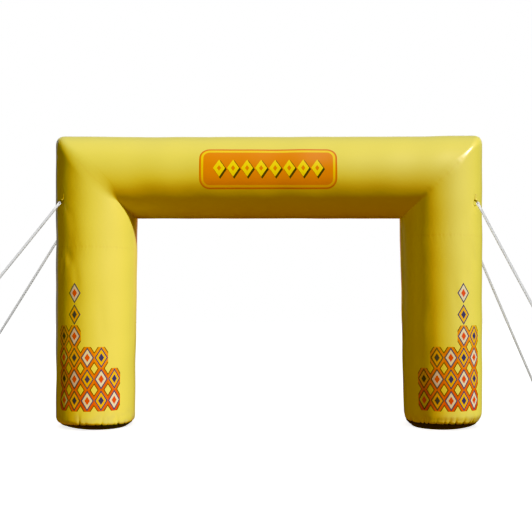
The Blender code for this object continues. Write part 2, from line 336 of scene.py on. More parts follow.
def corner_bend(side, angle):
    """How far from the mitre each thread of the cloth starts to turn."""
    outward = np.cos(angle)
    outermost = np.maximum(outward, 0) ** 2
    reach = np.where(outward > WIDEST, OUTWARD_REACH[side], INWARD_REACH)
    front = np.sin(angle) ** 2 * np.exp(-(((outward - WIDEST) / reach) ** 4))
    return INNER_BEND + (OUTER_BEND - INNER_BEND) * outermost + FRONT_BEND[side] * front


def leg_surface(side, angle, z, inset=0.0):
    top = mitre_place(side, angle)[1] - corner_bend(side, angle)
    share = np.clip((z - FOOT_TAPER_Z) / (top - FOOT_TAPER_Z), 0, 1)
    radius = FOOT_RADIUS[side] + share * (TUBE_RADIUS[side] - FOOT_RADIUS[side])
    out = HALF_SPAN - radius + (radius - inset) * np.cos(angle)
    return points(SIDE[side] * out, -(radius - inset) * np.sin(angle), z)


def lift(angle, from_corner):
    """How much higher the top of the beam is at its corners."""
    return CORNER_LIFT * np.maximum(np.cos(angle), 0) ** 2 * np.exp(-((from_corner / LIFT_REACH) ** 2))


def beam_surface(angle, x):
    left, right = (SIDE[side] * mitre_place(side, angle)[0] for side in SIDE)
    share = (x - left) / (right - left)
    radius = TUBE_RADIUS["left"] + share * (TUBE_RADIUS["right"] - TUBE_RADIUS["left"])
    z = CLEAR_HEIGHT + radius * (1 + np.cos(angle)) + lift(angle, np.minimum(x - left, right - x))
    return points(x, -radius * np.sin(angle), z)


def corner_surface(side, angle, turn):
    """The turn of the corner: turn is -1 where it leaves the leg, 0 on the mitre, 1 at the beam."""
    bend = corner_bend(side, angle)
    share = (1 + turn) / 2
    out, up = mitre_place(side, angle)
    out = out - bend * share**2
    up = up - bend * (1 - share) ** 2 + lift(angle, bend)
    return points(SIDE[side] * out, -TUBE_RADIUS[side] * np.sin(angle), up)


def ripple(place, lengths, seed):
    """Smooth unevenness along a line, about from -1 to 1, made of one wave for each length."""
    phases = np.random.default_rng(seed).uniform(0, 2 * math.pi, len(lengths))
    waves = [np.sin(2 * math.pi * place / length + phase) for length, phase in zip(lengths, phases)]
    return sum(waves) / math.sqrt(len(lengths))


def run_along(rows):
    """How far each point is from the first row, measured along the rows."""
    steps = np.linalg.norm(np.diff(rows, axis=0), axis=-1)
    return np.concatenate([np.zeros_like(steps[:1]), np.cumsum(steps, axis=0)])


def raised(grid, relief):
    """A grid of points, rows by columns, that closes round its columns, moved out by the relief."""
    along = np.gradient(grid, axis=0)
    around = np.roll(grid, -1, axis=1) - np.roll(grid, 1, axis=1)
    normal = np.cross(along, around)
    normal /= np.maximum(np.linalg.norm(normal, axis=2, keepdims=True), 1e-12)
    outwards = grid - grid.mean(axis=1, keepdims=True)
    way = 1 if (normal * outwards).sum() > 0 else -1
    return grid + way * normal * relief[:, :, None]


def seam_relief(angle, along, distance, seed):
    """How far a sleeve's cloth stands in at its seams, and puckers beside them. Both sleeves that meet
    at a seam get the same puckers there."""
    round_cloth = angle * CLOTH_WIDTH_RADIUS
    end = np.abs(distance)
    relief = -END_SEAM_DEPTH * np.exp(-((end / SEAM_HALF_WIDTH) ** 2))
    pucker = ripple(round_cloth + 0.2 * end, (0.047, 0.071, 0.113, 0.29), 7)
    relief = relief + END_PUCKER_DEPTH * pucker * np.exp(-end / PUCKER_REACH)
    away = 1 - np.exp(-((end / PUCKER_REACH) ** 2))
    for k, seam in enumerate(SEAM_ANGLES):
        aside = round_cloth - math.radians(seam) * CLOTH_WIDTH_RADIUS
        relief = relief - LONG_SEAM_DEPTH * away * np.exp(-((2 * aside / SEAM_HALF_WIDTH) ** 2))
        pucker = ripple(along, (0.053, 0.083, 0.137, 0.41), seed + 1 + k)
        relief = relief + LONG_PUCKER_DEPTH * away * pucker * np.exp(-np.abs(aside) / PUCKER_REACH)
    return relief


def corner_fullness(angle, from_mitre):
    """How far the air pushes out a sleeve's inner side, in front and behind, near its mitre."""
    aside = (np.abs(angle - math.pi) - FULL_ANGLE) * CLOTH_WIDTH_RADIUS
    return FULLNESS * np.exp(-((aside / FULL_WIDTH) ** 2) - (from_mitre / FULL_REACH) ** 2)


def unevenness(angle, along, from_mitre, seed):
    """The gentle swells of a sleeve that air alone keeps in shape. They fade towards its mitre."""
    swell = ripple(along + 0.3 * np.sin(angle), (0.62, 0.97, 1.7), seed)
    away = 1 - np.exp(-((from_mitre / SWELL_START) ** 2))
    return SWELL_DEPTH * swell * away * (1 + 0.5 * np.sin(2 * angle + seed))


def tube_quads(number):
    """Faces between rows of numbered points that close round their columns."""
    after = np.roll(number, -1, axis=1)
    return np.stack([number[:-1], after[:-1], after[1:], number[1:]], axis=-1).reshape(-1, 4)


def closed_bars(name, bars, whole):
    """One mesh of closed bars, each given as (rows of points, places round, places along). Its cloth map
    holds those places in metres, and whole is how far round one turn of a bar goes."""
    spots, faces, cloth = [], [], []
    for grid, around, along in bars:
        columns = grid.shape[1]
        number = sum(map(len, spots)) + np.arange(grid.size // 3).reshape(-1, columns)
        hub = number[-1, -1] + 1
        low = np.stack([np.full(columns, hub), np.roll(number[0], -1), number[0]], axis=-1)
        high = np.stack([np.full(columns, hub + 1), number[-1], np.roll(number[-1], -1)], axis=-1)
        spots += [grid.reshape(-1, 3), grid[0].mean(axis=0)[None], grid[-1].mean(axis=0)[None]]
        faces += [*tube_quads(number).tolist(), *low.tolist(), *high.tolist()]
        around, along, _ = np.broadcast_arrays(around, along, number)
        wide = np.concatenate([around, around[:, :1] + whole], axis=1)
        tall = np.concatenate([along, along[:, :1]], axis=1)
        mapped = np.stack([wide, tall], axis=-1)
        corners = [mapped[:-1, :-1], mapped[:-1, 1:], mapped[1:, 1:], mapped[1:, :-1]]
        cloth += [np.stack(corners, axis=2).reshape(-1, 2), np.zeros((6 * columns, 2))]
    obj = plain_mesh(name, np.concatenate(spots), faces)
    obj.data.uv_layers.new(name="cloth").data.foreach_set("uv", np.concatenate(cloth).ravel())
    # The faces are turned outwards if the bar runs the other way.
    grid = bars[0][0]
    middle = len(grid) // 2
    ring = grid[middle] - grid[middle].mean(axis=0)
    turning = np.cross(ring, np.roll(ring, -1, axis=0)).sum(axis=0)
    if turning @ (grid[middle + 1] - grid[middle]).mean(axis=0) < 0:
        obj.data.flip_normals()
    obj.data.set_sharp_from_angle(angle=math.radians(50))
    return obj


def skin(name, grid, angle, along, seam_distance):
    """A sleeve or cap, with the front in the middle of its cloth map. seam_distance says how far each
    point is from a seam."""
    around = (angle - FRONT_TURN) * CLOTH_WIDTH_RADIUS
    obj = closed_bars(name, [(grid, around, along)], 2 * math.pi * CLOTH_WIDTH_RADIUS)
    distance = obj.data.attributes.new("seam_distance", "FLOAT", "POINT")
    distance.data.foreach_set("value", np.append(seam_distance.ravel(), [0.0, 0.0]))
    return obj


def nearest_seam(angle, end_distance):
    """How far each point is from a lengthwise seam or from a sleeve's end."""
    asides = [np.abs(angle - math.radians(seam)) * CLOTH_WIDTH_RADIUS for seam in SEAM_ANGLES]
    return np.minimum(np.minimum(*asides), end_distance)


def sleeve(node, turns, grid, along, end, from_mitre, seeds, own_relief):
    """The sleeve of one CAD solid: a plain grid of points, moved out by what all sleeves have and by its
    own relief. end is how far each point is from the sleeve's nearer end."""
    relief = seam_relief(turns, along, end, seeds[0]) + unevenness(turns, along, from_mitre, seeds[1])
    relief += corner_fullness(turns, from_mitre) + own_relief
    piece = skin(f"{node}_sleeve", raised(grid, relief), turns, along, nearest_seam(turns, end))
    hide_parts(node)
    return piece


SLEEVE_TURNS = turns_round(256)
BEND_ROWS = 12
BEAM_ROWS = 110
EASE = 1.5  # rows stand closer together near a mitre
BEAM_SEEDS = (3, 11)  # for the puckers and for the swells
LEG_SEEDS = {"left": (19, 19), "right": (21, 21)}


def beam_half(side):
    """Rows of the beam from a mitre to its middle, and each point's distance from the mitre."""
    bend_rows = [corner_surface(side, SLEEVE_TURNS, k / BEND_ROWS) for k in range(BEND_ROWS + 1)]
    start = bend_rows[-1][:, 0]
    shares = (np.arange(1, BEAM_ROWS + 1) / BEAM_ROWS) ** EASE
    rows = bend_rows + [beam_surface(SLEEVE_TURNS, start * (1 - share)) for share in shares]
    grid = np.stack(rows)
    return grid, run_along(grid)


left_half, left_far = beam_half("left")
right_half, right_far = beam_half("right")
beam_grid = np.concatenate([left_half, right_half[-2::-1]])
beam_far = np.concatenate([left_far, right_far[-2::-1]])
beam_x = beam_grid[:, :, 0]
crowned = np.maximum(np.cos(SLEEVE_TURNS), 0) ** 2 * (1 - np.exp(-((beam_far / CROWN_REACH) ** 2)))
beam_relief = CROWN * crowned


def soft_dent(angle, along, middle, size, slant, depth):
    """A long soft trough or, with a negative depth, a ridge. middle and size are (degrees round,
    metres along) and (half width, half length) in metres, and slant turns it, in degrees."""
    right = (angle - math.radians(middle[0])) * CLOTH_WIDTH_RADIUS
    up = along - middle[1]
    turn = math.radians(slant)
    across = right * math.cos(turn) + up * math.sin(turn)
    length = up * math.cos(turn) - right * math.sin(turn)
    return -depth * np.exp(-((across / size[0]) ** 2) - (length / size[1]) ** 2)


# Soft dents of the beam, each as (degrees round, X), (half width, half length), slant and depth.
for dent in (
    ((24, -2.40), (0.05, 0.014), 30, 0.004),
    ((20, -2.30), (0.05, 0.012), 40, 0.004),
    ((26, -1.83), (0.06, 0.014), 30, 0.005),
    ((22, 1.60), (0.05, 0.014), -25, 0.004),
    ((26, 2.05), (0.06, 0.016), -35, 0.004),
    ((165, 0.62), (0.10, 0.012), 4, 0.004),
    ((168, 1.13), (0.10, 0.012), -3, 0.004),
):
    beam_relief += soft_dent(SLEEVE_TURNS, beam_x, *dent)
beam = sleeve("beam", SLEEVE_TURNS, beam_grid, beam_x, beam_far, beam_far, BEAM_SEEDS, beam_relief)

# The legs. Tabs are sewn on each upper sleeve, and the cloth is drawn in under them and in soft folds
# below. Each lower sleeve is gathered where it is sewn to the black cap of its foot.
Tab = namedtuple("Tab", "side degrees z")
TABS = {
    "front_left": Tab("left", 48.75, 3.12),
    "back_left": Tab("left", -48.75, 3.18),
    "front_right": Tab("right", 48.75, 3.12),
    "back_right": Tab("right", -48.75, 3.13),
}
UPPER_ROWS = 80

# The cloth round a tab is drawn in beneath it, stretched in ridges above it and slack below. Each fold
# is (degrees inwards from the tab, metres above it), (half width, half length), slant and depth.
TAB_FOLDS = (
    ((0, -0.02), (0.045, 0.075), 0, 0.0022),
    ((1, 0.15), (0.016, 0.08), 4, -0.0020),
    ((-4, 0.13), (0.014, 0.07), -14, -0.0015),
    ((5, 0.12), (0.014, 0.07), 18, -0.0014),
    ((9, -0.13), (0.040, 0.11), 38, 0.0024),
    ((19, -0.31), (0.060, 0.16), 6, 0.0034),
    ((16, -0.66), (0.10, 0.18), -6, 0.0042),
    ((-8, -0.40), (0.070, 0.22), 0, 0.0018),
)


def tab_folds(side, angle, z):
    relief = 0.0
    for tab in TABS.values():
        if tab.side != side:
            continue
        lean = math.copysign(1, tab.degrees)
        for (shift, rise), size, slant, depth in TAB_FOLDS:
            middle = (tab.degrees + lean * shift, tab.z + rise)
            relief = relief + soft_dent(angle, z, middle, size, lean * slant, depth)
    return relief


def leg_upper(side):
    bend_rows = [corner_surface(side, SLEEVE_TURNS, -k / BEND_ROWS) for k in range(BEND_ROWS + 1)]
    start = bend_rows[-1][:, 2]
    shares = (1 - np.cos(np.linspace(0, math.pi, UPPER_ROWS + 1)[1:])) / 2
    fall = CROSS_SEAM_Z[side] - start
    rows = [leg_surface(side, SLEEVE_TURNS, start + fall * share) for share in shares]
    grid = np.stack(bend_rows + rows)
    from_mitre = run_along(grid)
    z = grid[:, :, 2]
    end = np.minimum(from_mitre, z - CROSS_SEAM_Z[side])
    folds = tab_folds(side, SLEEVE_TURNS, z)
    return sleeve(f"leg_{side}_upper", SLEEVE_TURNS, grid, z, end, from_mitre, LEG_SEEDS[side], folds)


FOOT_CURL_Z = {"left": 0.14, "right": 0.20}
FLAT_INSET = 0.11  # how far in from the leg the flat of the foot starts
FLAT_SKEW = 0.055
BASE_SEAM_Z = {"left": 0.06, "right": 0.072}
BASE_SEAM_TILT = {"left": 0.0, "right": 0.01}
BASE_SEAM_LIFT = 0.02  # how far the seam rises to the front and back
SOLE_EDGE = 0.012  # how softly the sole's edge turns under
GATHERS = 36
GATHER_DEPTH = 0.012
GATHER_LIFT = 0.012  # a gather draws the seam up by this
GATHER_WIDTHS = (0.009, 0.016)
GATHER_HEIGHTS = (0.030, 0.105)
GATHER_SLANT = 0.35
GATHER_SPREAD = 0.08  # a gather is twice as wide this far from the seam
DEEPEST_GATHER = 1.2
MEAN_GATHER = 0.4
GATHER_SEEDS = {"left": 49, "right": 51}
LOBE_DEPTH = 0.006
LOBE_TALL = 0.022
FOOT_TURNS = turns_round(432)
FOOT_STRETCH = 0.30  # above the foot and below the cross seam the rows stand closer together
FOOT_ROW = 0.008
BODY_ROW = 0.026
TOP_STRETCH = 0.10
TOP_ROWS = 11


def gathers(side, angle, above):
    """How deep the cloth is creased, from 0 to about 1, at a height above the base seam."""
    draw = np.random.default_rng(GATHER_SEEDS[side])
    field = 0.0
    for k in range(GATHERS):
        strength = draw.uniform(0.15, 1.0)
        middle = math.radians(-90 + 360 * (k + draw.uniform(-0.4, 0.4)) / GATHERS)
        width = draw.uniform(*GATHER_WIDTHS)
        drift = draw.uniform(-GATHER_SLANT, GATHER_SLANT) * above
        height = np.interp(strength, (0, 1), GATHER_HEIGHTS)
        aside = (np.mod(angle - middle + math.pi, 2 * math.pi) - math.pi) * CLOTH_WIDTH_RADIUS - drift
        spread = width * (1 + np.abs(above) / GATHER_SPREAD)
        field = field + strength * np.exp(-((aside / spread) ** 2) - (np.abs(above) / height) ** 1.5)
    return field


def base_seam(side, angle):
    """The height of the seam that joins a leg to its black cap."""
    drawn = np.minimum(gathers(side, angle, np.zeros_like(angle)), DEEPEST_GATHER)
    tilt = BASE_SEAM_TILT[side] * np.cos(angle)
    level = BASE_SEAM_Z[side] - tilt + BASE_SEAM_LIFT * np.sin(angle) ** 2
    return level + GATHER_LIFT * (drawn - MEAN_GATHER)


def foot_surface(side, angle, z):
    flat_inset = FLAT_INSET + 2 * FLAT_SKEW * np.abs(np.sin(angle)) * np.cos(angle)
    inset = flat_inset * np.maximum(1 - z / FOOT_CURL_Z[side], 0) ** 2
    return leg_surface(side, angle, z, inset + SOLE_EDGE * np.maximum(1 - z / SOLE_EDGE, 0) ** 2)


def gathered(side, angle, above):
    """Creases between lobes of cloth that puff out over the seam."""
    crease = gathers(side, angle, above)
    lobe = np.maximum(1 - crease, 0) * np.exp(-((np.abs(above) / LOBE_TALL - 1) ** 2))
    return LOBE_DEPTH * lobe - GATHER_DEPTH * crease


# Soft dents of the legs, each as (degrees round, height), (half width, half length), slant and depth.
LEG_DENTS = {
    "left": (
        ((62, 2.34), (0.060, 0.10), 14, 0.008),
        ((48, 2.16), (0.040, 0.20), -10, 0.006),
        ((75, 2.05), (0.050, 0.22), 8, 0.004),
        ((112, 1.45), (0.070, 0.30), 5, 0.004),
        ((80, 0.34), (0.060, 0.07), 20, 0.005),
    ),
    "right": (
        ((52, 2.34), (0.050, 0.14), -16, 0.007),
        ((66, 2.10), (0.060, 0.20), 9, 0.006),
        ((84, 1.80), (0.060, 0.25), -6, 0.004),
        ((120, 1.30), (0.080, 0.30), 4, 0.004),
        ((96, 0.36), (0.060, 0.08), -15, 0.005),
    ),
}


def leg_lower(side):
    top = CROSS_SEAM_Z[side]
    tall = top - BASE_SEAM_Z[side]
    near_foot = np.arange(0, FOOT_STRETCH, FOOT_ROW)
    body = np.arange(FOOT_STRETCH, tall - TOP_STRETCH, BODY_ROW)
    near_top = tall - TOP_STRETCH * np.linspace(0.9, 0, TOP_ROWS)
    heights = np.concatenate([near_foot, body, near_top])[::-1, None] / tall
    seam = base_seam(side, FOOT_TURNS)
    z = seam + heights * (top - seam)
    grid = foot_surface(side, np.broadcast_to(FOOT_TURNS, z.shape), z)
    above = z - seam
    end = np.minimum(top - z, above)
    relief = gathered(side, FOOT_TURNS, above) + tab_folds(side, FOOT_TURNS, z)
    for dent in LEG_DENTS[side]:
        relief += soft_dent(FOOT_TURNS, z, *dent)
    return sleeve(f"leg_{side}_lower", FOOT_TURNS, grid, z, end, math.inf, LEG_SEEDS[side], relief)


uppers = {side: leg_upper(side) for side in SIDE}
lowers = {side: leg_lower(side) for side in SIDE}

# The yellow cloth is tightly woven, with a glossy coating, and is sewn in overlapping seams with two
# rows of stitches. The orange panel and the diamonds are printed on it.
YELLOW = (0.79, 0.695, 0.074)
WORN_YELLOW = (0.765, 0.665, 0.078)
SEAM_YELLOW = (0.70, 0.58, 0.050)
STITCH = (0.70, 0.50, 0.05)
DUST = (0.33, 0.26, 0.17)
ORANGE = (0.76, 0.265, 0.004)
DEEP_ORANGE = (0.66, 0.17, 0.004)
PANEL_LINE = (0.86, 0.60, 0.01)
INK_ORANGE = (0.74, 0.16, 0.006)
INK_GOLD = (0.80, 0.46, 0.012)
INK_YELLOW = (0.90, 0.70, 0.01)
INK_DARK = (0.020, 0.012, 0.008)
INK_CREAM = (0.72, 0.66, 0.46)
INK_RED = (0.70, 0.068, 0.008)
INK_AMBER = (0.80, 0.29, 0.008)
INK_NAVY = (0.020, 0.022, 0.11)
THREAD = 0.0011  # the weave's thread spacing
OVERLAP = 0.014  # how far the cloth is doubled beside a seam
STITCH_PITCH = 0.005
STITCH_ROW = 0.008  # the middle of the two rows of stitches, from the seam
STITCH_APART = 0.0025  # each row's distance from that middle


def bumped(wire, height):
    """A normal from a height in metres."""
    return wire.node("Bump", {}, {"Height": height, "Distance": 1.0, "Strength": 1.0}, "Normal")


def cloth_place(wire):
    """The place round and along the sleeve, in metres."""
    mapped = wire.node("UVMap", {"uv_map": "cloth"}, {})
    return tuple(wire.node("SeparateXYZ", {}, {0: mapped}, axis) for axis in (0, 1))


def seam_place(wire):
    return wire.node("Attribute", {"attribute_name": "seam_distance"}, {}, "Fac")


def weave(around, along):
    """The crossed threads of plain cloth, from -1 to 1."""
    warp, weft = ((place * (2 * math.pi / THREAD)).maths("SINE") for place in (around, along))
    return warp * weft


def inside(distance):
    """1 where a signed distance in metres is below 0."""
    return 1 - distance.step(0.0, 0.004)


def shapes(colour, distance, size, shown, *bands):
    """Nested shapes of the given size in metres. distance is 0 in the middle of a shape and 1 on its
    edge, and each band is the share of the size it fills and its ink, from the outermost inwards."""
    for reach, ink in bands:
        colour = colour.mix(inside((distance - reach) * size) * shown, ink)
    return colour


def between(value, low, high):
    return inside(low - value) * inside(value - high)


PANEL_MIDDLE = (-0.012, -0.034)
PANEL_HALF = (0.925, 0.280)
PANEL_CORNER = 0.14
PANEL_EDGE = 0.014
LINE_MIDDLE = 0.040  # the yellow line, in from the panel's edge
LINE_HALF = 0.015
LOZENGE_PITCH = 0.188
LOZENGE_HALF = (0.088, 0.125)
LOZENGE_SHADOW = (0.016, 0.018)
LOZENGE_HEART = 0.34


def panel_print(around, along, colour):
    """An orange panel with round corners, a yellow line inside its edge and a row of lozenges, each
    with a dark shadow to the right and below."""
    right, down = along - PANEL_MIDDLE[0], around - PANEL_MIDDLE[1]
    past_x = (abs(right) - (PANEL_HALF[0] - PANEL_CORNER)).maths("MAXIMUM", 0.0)
    past_y = (abs(down) - (PANEL_HALF[1] - PANEL_CORNER)).maths("MAXIMUM", 0.0)
    edge = (past_x**2 + past_y**2) ** 0.5 - PANEL_CORNER
    colour = colour.mix(inside(edge), DEEP_ORANGE)
    colour = colour.mix(inside(edge + PANEL_EDGE), ORANGE)
    colour = colour.mix(inside(abs(edge + LINE_MIDDLE) - LINE_HALF), PANEL_LINE)
    for (shift, drop), size, ink in ((LOZENGE_SHADOW, 1.0, INK_DARK), ((0.0, 0.0), 0.92, INK_YELLOW)):
        across = abs((right - shift + 100 * LOZENGE_PITCH) % LOZENGE_PITCH - LOZENGE_PITCH / 2)
        lozenge = across / LOZENGE_HALF[0] + abs(down - drop) / LOZENGE_HALF[1]
        row = inside(abs(right - shift) - 4 * LOZENGE_PITCH)
        colour = shapes(colour, lozenge, 0.07, row, (size, ink), (size * LOZENGE_HEART, ORANGE))
    return colour


TILE = (0.188, 0.29)
TILES_START = (-0.458, 0.26)
TILE_STEPS = ((0, 5, 2), (0, 4, 3), (0, 2, 4), (1, 2, 6))  # from column, to column, rows up
TILED_ROWS = 4


def diamond_print(around, along, colour):
    """Nested diamonds on tiles with cut corners, red at the foot and golden higher up, in rows that get
    shorter upwards in steps. The highest diamonds stand alone."""
    right = (around - TILES_START[0]) / TILE[0]
    up = (along - TILES_START[1]) / TILE[1]
    steps = [between(right, first, last) * between(up, 0, top) for first, last, top in TILE_STEPS]
    shown = steps[0]
    for step in steps[1:]:
        shown = shown.maths("MAXIMUM", step)
    column, row = right.maths("FLOOR"), up.maths("FLOOR")
    odd = (column + row + 10) % 2
    tile = abs(right - column - 0.5) * 2 + abs(up - row - 0.5) * 2
    inks = [(0.0, INK_RED), (0.4, INK_ORANGE), (0.7, INK_AMBER), (1.0, INK_GOLD)]
    warm = colour.node("ValToRGB", {"stops": inks}, {0: (up + odd) / 5})
    pale = blend(odd, INK_CREAM, INK_GOLD)
    heart = blend(odd, INK_RED, INK_NAVY)
    tiled = shown * (1 - up.step(TILED_ROWS, 0.01))
    colour = shapes(colour, tile, 0.08, tiled, (1.5, INK_DARK), (1.38, warm))
    return shapes(colour, tile, 0.08, shown, (0.96, INK_NAVY), (0.78, pale), (0.40, heart))


def place_in_piece(wire, axis):
    """The place in the piece's own axes, in metres."""
    place = wire.node("TexCoord", {}, {}, "Object")
    return wire.node("SeparateXYZ", {}, {0: place}, axis)


def yellow_paint(printed=None):
    """The paint of a sleeve's cloth, with a print or without."""

    def paint(wire):
        around, along = cloth_place(wire)
        seam = seam_place(wire)
        broad = noise(wire, 1.3, 3.0)
        fine = noise(wire, 9.0, 4.0)
        colour = blend(broad, YELLOW, WORN_YELLOW)
        if printed:
            colour = printed(around, along, colour)
        overlap = 1 - seam.step(OVERLAP, 0.003)
        colour = colour.mix(overlap * 0.04, SEAM_YELLOW)
        along_seam = abs((around + along) % STITCH_PITCH - STITCH_PITCH / 2)
        two_rows = 1 - abs(abs(seam - STITCH_ROW) - STITCH_APART).step(0.0007, 0.0005)
        stitches = two_rows * along_seam.step(0.0008, 0.0004)
        colour = colour.mix(stitches * 0.6, STITCH)
        low = 1 - place_in_piece(wire, "Z").step(0.16, 0.34)
        dust = low * fine.step(0.52, 0.30)
        colour = colour.mix(dust * 0.35, DUST)
        cockle = noise(wire, 16.0, 2.0)
        relief = weave(around, along) * 0.00003 + cockle * 0.0005 + fine * 0.0004
        relief = relief + overlap * 0.00012 + stitches * 0.0001
        roughness = 0.50 + 0.10 * fine + 0.05 * broad + 0.25 * dust
        return {"Base Color": colour, "Roughness": roughness, "Normal": bumped(wire, relief)}

    return paint


CLOTH = {"Specular IOR Level": 0.2, "Coat Roughness": 0.34, "Coat IOR": 1.55, "Coat Weight": 1.0}
beam.data.materials.append(finish("yellow_beam_cloth", CLOTH, yellow_paint(panel_print)))
plain_cloth = finish("yellow_cloth", CLOTH, yellow_paint())
printed_cloth = finish("yellow_printed_cloth", CLOTH, yellow_paint(diamond_print))
for side in SIDE:
    uppers[side].data.materials.append(plain_cloth)
    lowers[side].data.materials.append(printed_cloth)
for piece in (beam, *uppers.values(), *lowers.values()):
    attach(piece, "root")


# ---- Foot caps ----
# Black coated cloth sewn under each leg, drawn up by the gathers of its seam and pressed flat on the
# ground. It is scuffed and dusty where it meets the ground.
BLACK = (0.006, 0.006, 0.006)
SCUFFED = (0.022, 0.021, 0.019)
CAP_ROWS = 28
CAP_EASE = 1.3  # rows stand closer together near the ground
CAP_SEAM_DEPTH = 0.0004
PRESSED_Z = 0.03  # the weight of the leg keeps the cloth smooth below this


def foot_cap(side):
    seam = base_seam(side, FOOT_TURNS)
    z = np.linspace(1, 0, CAP_ROWS)[:, None] ** CAP_EASE * seam
    grid = foot_surface(side, np.broadcast_to(FOOT_TURNS, z.shape), z)
    above = z - seam
    relief = gathered(side, FOOT_TURNS, above) * np.minimum(z / PRESSED_Z, 1)
    relief -= CAP_SEAM_DEPTH * np.exp(-((above / SEAM_HALF_WIDTH) ** 2))
    shaped = raised(grid, relief)
    shaped[:, :, 2] = np.where(z > PRESSED_Z, shaped[:, :, 2], z)
    flat = shaped[-1]
    middle = flat.mean(axis=0)
    sole = np.stack([middle + (flat - middle) * share for share in np.linspace(1, 0.1, 10)[1:]])
    shaped = np.concatenate([shaped, sole])
    above = np.concatenate([above, np.full(sole.shape[:2], -BASE_SEAM_Z[side])])
    piece = skin(f"foot_cap_{side}", shaped, FOOT_TURNS, above, np.abs(above))
    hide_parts(f"base_{side}")
    return piece


def black_paint(wire):
    around, along = cloth_place(wire)
    seam = seam_place(wire)
    broad = noise(wire, 6.0, 4.0)
    fine = noise(wire, 40.0, 4.0)
    low = 1 - place_in_piece(wire, "Z").step(0.02, 0.05)
    scuffs = broad.step(0.56, 0.16) * (0.35 + 0.65 * low)
    colour = blend(scuffs * 0.6, BLACK, SCUFFED)
    colour = colour.mix(low * fine.step(0.45, 0.3) * 0.12, DUST)
    overlap = 1 - seam.step(OVERLAP, 0.003)
    relief = weave(around, along) * 0.00004 + fine * 0.0008 + overlap * 0.0006
    roughness = 0.5 + 0.2 * scuffs + 0.1 * fine
    return {"Base Color": colour, "Roughness": roughness, "Normal": bumped(wire, relief)}


black_cloth = finish("black_cloth", {"Specular IOR Level": 0.4, "Coat Weight": 0.0}, black_paint)
for side in SIDE:
    cap = foot_cap(side)
    cap.data.materials.append(black_cloth)
    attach(cap, "root")


# ---- Tie tabs ----
# Each tab is a folded strap of yellow webbing, sewn flat to the leg with a boxed cross. It turns on the
# leg until its fold, which holds the straight wire of the ring, lies square to the pull of the rope.
GAP = 0.0003  # between pieces that lie on each other
FACETS = 48  # the flat under a tab is one facet of the leg
STRAP_WIDTH = 0.042
STRAP_LENGTH = 0.085
STRAP_THICK = 0.003
STRAP_LAYER_GAP = 0.0005
STRAP_FALL = 0.024  # how far behind the wire the strap's two layers meet
RING_WIRE = 0.004
FOLD_RADIUS = RING_WIRE + 0.0005 + STRAP_THICK / 2
WIRE_HEIGHT = GAP + STRAP_THICK / 2 + FOLD_RADIUS

# Where each rope's far splice starts.
ROPE_ENDS = {
    "front_left": (-3.53, -0.86, 2.01),
    "back_left": (-4.22, 0.92, 1.205),
    "front_right": (3.325, -1.195, 1.625),
    "back_right": (4.18, 1.11, 0.46),
}


def outward_at(tab):
    """Straight out from the leg at a tab."""
    angle = math.radians(tab.degrees)
    return Vector((SIDE[tab.side] * math.cos(angle), -math.sin(angle), 0.0))


def wire_middle(tab):
    angle = np.array([math.radians(tab.degrees)])
    on_skin = Vector(leg_surface(tab.side, angle, np.array([tab.z]))[0])
    sagitta = TUBE_RADIUS[tab.side] * (1 - math.cos(math.pi / FACETS))
    return on_skin + outward_at(tab) * (WIRE_HEIGHT - sagitta)


def pull_of(name):
    return (Vector(ROPE_ENDS[name]) - wire_middle(TABS[name])).normalized()


def axes_at(origin, x, y):
    return Matrix.Translation(origin) @ Matrix((x, y, x.cross(y))).transposed().to_4x4()


def across_pull(name):
    return pull_of(name).cross(outward_at(TABS[name])).normalized()


def tab_place(name):
    along_wire = across_pull(name)
    return axes_at(wire_middle(TABS[name]), along_wire, outward_at(TABS[name]).cross(along_wire))


def strap_line():
    """The folded strap seen from its edge: along the leg, round the ring's wire and back on itself."""
    under = -FOLD_RADIUS
    over = under + STRAP_THICK + STRAP_LAYER_GAP
    flat = [(-STRAP_LENGTH + k * 0.004, under) for k in range(16)]
    bow = arc(FOLD_RADIUS, range(-90, 91, 10))
    rise = FOLD_RADIUS - over
    shares = [k / 10 for k in range(1, 11)]
    back = [(-STRAP_FALL * s, over + rise * (1 + math.cos(math.pi * s)) / 2) for s in shares]
    return np.array([*flat, (-STRAP_FALL, under), *bow, *back, *[(x, over) for x, _ in flat[::-1]]])


FLIPPED = [0, 3, 2, 1]  # a face's corners taken the other way round


def strap_mesh():
    """Points and faces of the strap, with rounded edges."""
    line = strap_line()
    way = np.gradient(line, axis=0)
    way /= np.linalg.norm(way, axis=1, keepdims=True)
    side = np.stack([-way[:, 1], way[:, 0]], axis=1)
    half = STRAP_WIDTH / 2
    edge = STRAP_THICK / 2
    rim = arc(edge, range(-90, 91, 30), x=half - edge)
    flat = [(half * k / 5, edge) for k in (4, 3, 2, 1, 0, -1, -2, -3, -4)]
    section = np.array([*rim, *flat, *[(-x, -y) for x, y in rim], *[(-x, -y) for x, y in flat]])
    grid = np.zeros((len(line), len(section), 3))
    for k, (across, out) in enumerate(section):
        grid[:, k, 0] = across
        grid[:, k, 1:] = line + side * out
    number = np.arange(grid.size // 3).reshape(-1, len(section))
    faces = [*tube_quads(number)[:, FLIPPED].tolist(), number[0].tolist(), number[-1][::-1].tolist()]
    return grid.reshape(-1, 3), faces


STRAP_YELLOW = (0.80, 0.66, 0.07)
WORN_STRAP = (0.74, 0.60, 0.07)
STRAP_THREAD = (0.50, 0.38, 0.04)
BOX_MIDDLE = -0.056  # the stitched box along the strap, from the ring's wire
BOX_HALF = (0.015, 0.021)
STITCHES_A_METRE = 420
RIB = 0.0016
TWILL = 0.0021


